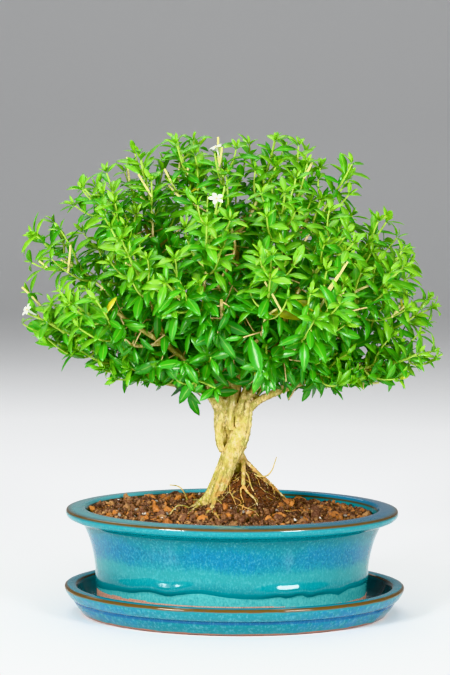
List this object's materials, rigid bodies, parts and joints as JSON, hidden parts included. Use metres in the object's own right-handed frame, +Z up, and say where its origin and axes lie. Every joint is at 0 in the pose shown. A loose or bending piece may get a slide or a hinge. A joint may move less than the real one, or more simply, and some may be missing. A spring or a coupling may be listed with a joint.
{
  "type": "serissa bonsai",
  "caption": "Small twisted serissa tree with exposed roots and starry white flowers, in an oval turquoise glazed pot on its saucer.",
  "frame": {"origin": "centre of the saucer's flat underside, on the surface that it stands on", "axes": "+Z up, +X along the pot's length to the right as seen from the front, +Y to the back"},
  "size_m": [0.2963, 0.2394, 0.334],
  "materials": {
    "saucer_glaze": "running turquoise and blue glaze, brown where it breaks over edges, on pink stoneware",
    "pot_glaze": "running turquoise and blue glaze, brown where it breaks over edges, bare clay at the foot",
    "drain_mesh": "moulded black plastic",
    "soil": "moist brown and orange clay granules with a few pale grains",
    "bark": "pale tan flaking bark with yellow-green lichen, red-brown on the roots",
    "leaf": "smooth, semi-glossy, bright green with a paler midrib and underside",
    "petal": "matte white, slightly translucent"
  },
  "bodies": {
    "root": {"saucer": "saucer_glaze", "pot": "pot_glaze", "drain_mesh_left": "drain_mesh", "drain_mesh_right": "drain_mesh", "soil": "soil", "trunk_roots_branches": "bark", "leafy_spray_01": "leaf", "leafy_spray_02": "leaf", "leafy_spray_03": "leaf", "leafy_spray_04": "leaf", "leafy_spray_05": "leaf", "leafy_spray_06": "leaf", "leafy_spray_07": "leaf", "leafy_spray_08": "leaf", "leafy_spray_09": "leaf", "leafy_spray_10": "leaf", "leafy_spray_11": "leaf", "leafy_spray_12": "leaf", "leafy_spray_13": "leaf", "leafy_spray_14": "leaf", "leafy_spray_15": "leaf", "leafy_spray_16": "leaf", "leafy_spray_17": "leaf", "leafy_spray_18": "leaf", "leafy_spray_19": "leaf", "leafy_spray_20": "leaf", "leafy_spray_21": "leaf", "leafy_spray_22": "leaf", "leafy_spray_23": "leaf", "leafy_spray_24": "leaf", "leafy_spray_25": "leaf", "leafy_spray_26": "leaf", "leafy_spray_27": "leaf", "leafy_spray_28": "leaf", "leafy_spray_29": "leaf", "leafy_spray_30": "leaf", "leafy_spray_31": "leaf", "leafy_spray_32": "leaf", "leafy_spray_33": "leaf", "leafy_spray_34": "leaf", "leafy_spray_35": "leaf", "leafy_spray_36": "leaf", "leafy_spray_37": "leaf", "leafy_spray_38": "leaf", "leafy_spray_39": "leaf", "leafy_spray_40": "leaf", "leafy_spray_41": "leaf", "leafy_spray_42": "leaf", "leafy_spray_43": "leaf", "leafy_spray_44": "leaf", "leafy_spray_45": "leaf", "leafy_spray_46": "leaf", "flower_1": "petal", "flower_2": "petal", "flower_3": "petal", "flower_4": "petal"}
  },
  "joints": []
}
